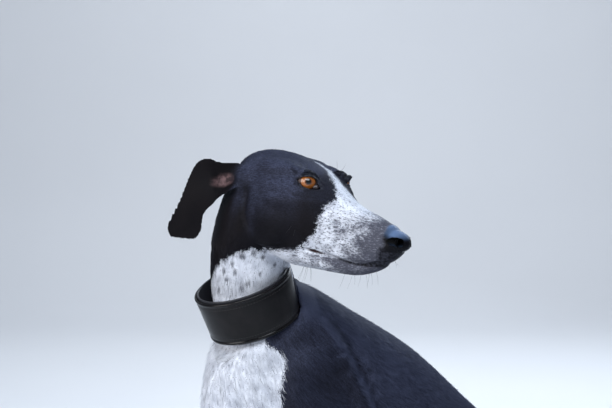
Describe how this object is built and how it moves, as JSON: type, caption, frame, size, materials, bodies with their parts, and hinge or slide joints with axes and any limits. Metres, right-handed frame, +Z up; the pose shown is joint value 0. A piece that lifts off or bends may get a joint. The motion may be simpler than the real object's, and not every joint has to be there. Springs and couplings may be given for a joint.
{
  "type": "greyhound",
  "caption": "Sitting greyhound, a still life-size model with its head turned over one shoulder, folded ears, a long tail on the floor and a broad leather collar.",
  "frame": {"origin": "on the floor under the middle of the model's bounding box", "axes": "+Z up; the chest faces -Y, the tail lies towards +Y, the dog's left side is +X and its head is turned towards +X"},
  "size_m": [0.3666, 0.7298, 0.7108],
  "materials": {
    "black_coat": "short smooth black hair lying flat, faint blue-grey sheen",
    "white_coat": "short smooth white hair with small black spots and ticking",
    "nose_skin": "black pebbled skin, slightly moist",
    "eye": "wet, amber-brown iris and dark pupil under a clear surface",
    "claw": "dark horn, semi-gloss",
    "collar_leather": "near-black brown smooth leather with rolled rims",
    "collar_lining": "soft padded leather lining",
    "collar_steel": "plain satin steel"
  },
  "bodies": {
    "root": {"head": "black_coat", "neck": "white_coat", "nose": "nose_skin", "chest": "black_coat", "loin": "black_coat", "rump": "black_coat", "tail_root": "black_coat", "tail_middle": "black_coat", "tail_tip": "white_coat", "ear_left": "black_coat", "eye_left": "eye", "upper_arm_left": "black_coat", "foreleg_left": "white_coat", "forepaw_left": "white_coat", "thigh_left": "black_coat", "shank_left": "black_coat", "hind_pastern_left": "black_coat", "hind_paw_left": "white_coat", "claw_dew_left": "claw", "claw_fore_1_left": "claw", "claw_fore_2_left": "claw", "claw_fore_3_left": "claw", "claw_fore_4_left": "claw", "claw_hind_1_left": "claw", "claw_hind_2_left": "claw", "claw_hind_3_left": "claw", "claw_hind_4_left": "claw", "ear_right": "black_coat", "eye_right": "eye", "upper_arm_right": "black_coat", "foreleg_right": "white_coat", "forepaw_right": "white_coat", "thigh_right": "black_coat", "shank_right": "black_coat", "hind_pastern_right": "black_coat", "hind_paw_right": "white_coat", "claw_dew_right": "claw", "claw_fore_1_right": "claw", "claw_fore_2_right": "claw", "claw_fore_3_right": "claw", "claw_fore_4_right": "claw", "claw_hind_1_right": "claw", "claw_hind_2_right": "claw", "claw_hind_3_right": "claw", "claw_hind_4_right": "claw", "collar_leather": "collar_leather", "collar_lining": "collar_lining", "collar_strap_end": "collar_leather", "collar_buckle": "collar_steel", "collar_prong": "collar_steel"}
  },
  "joints": []
}
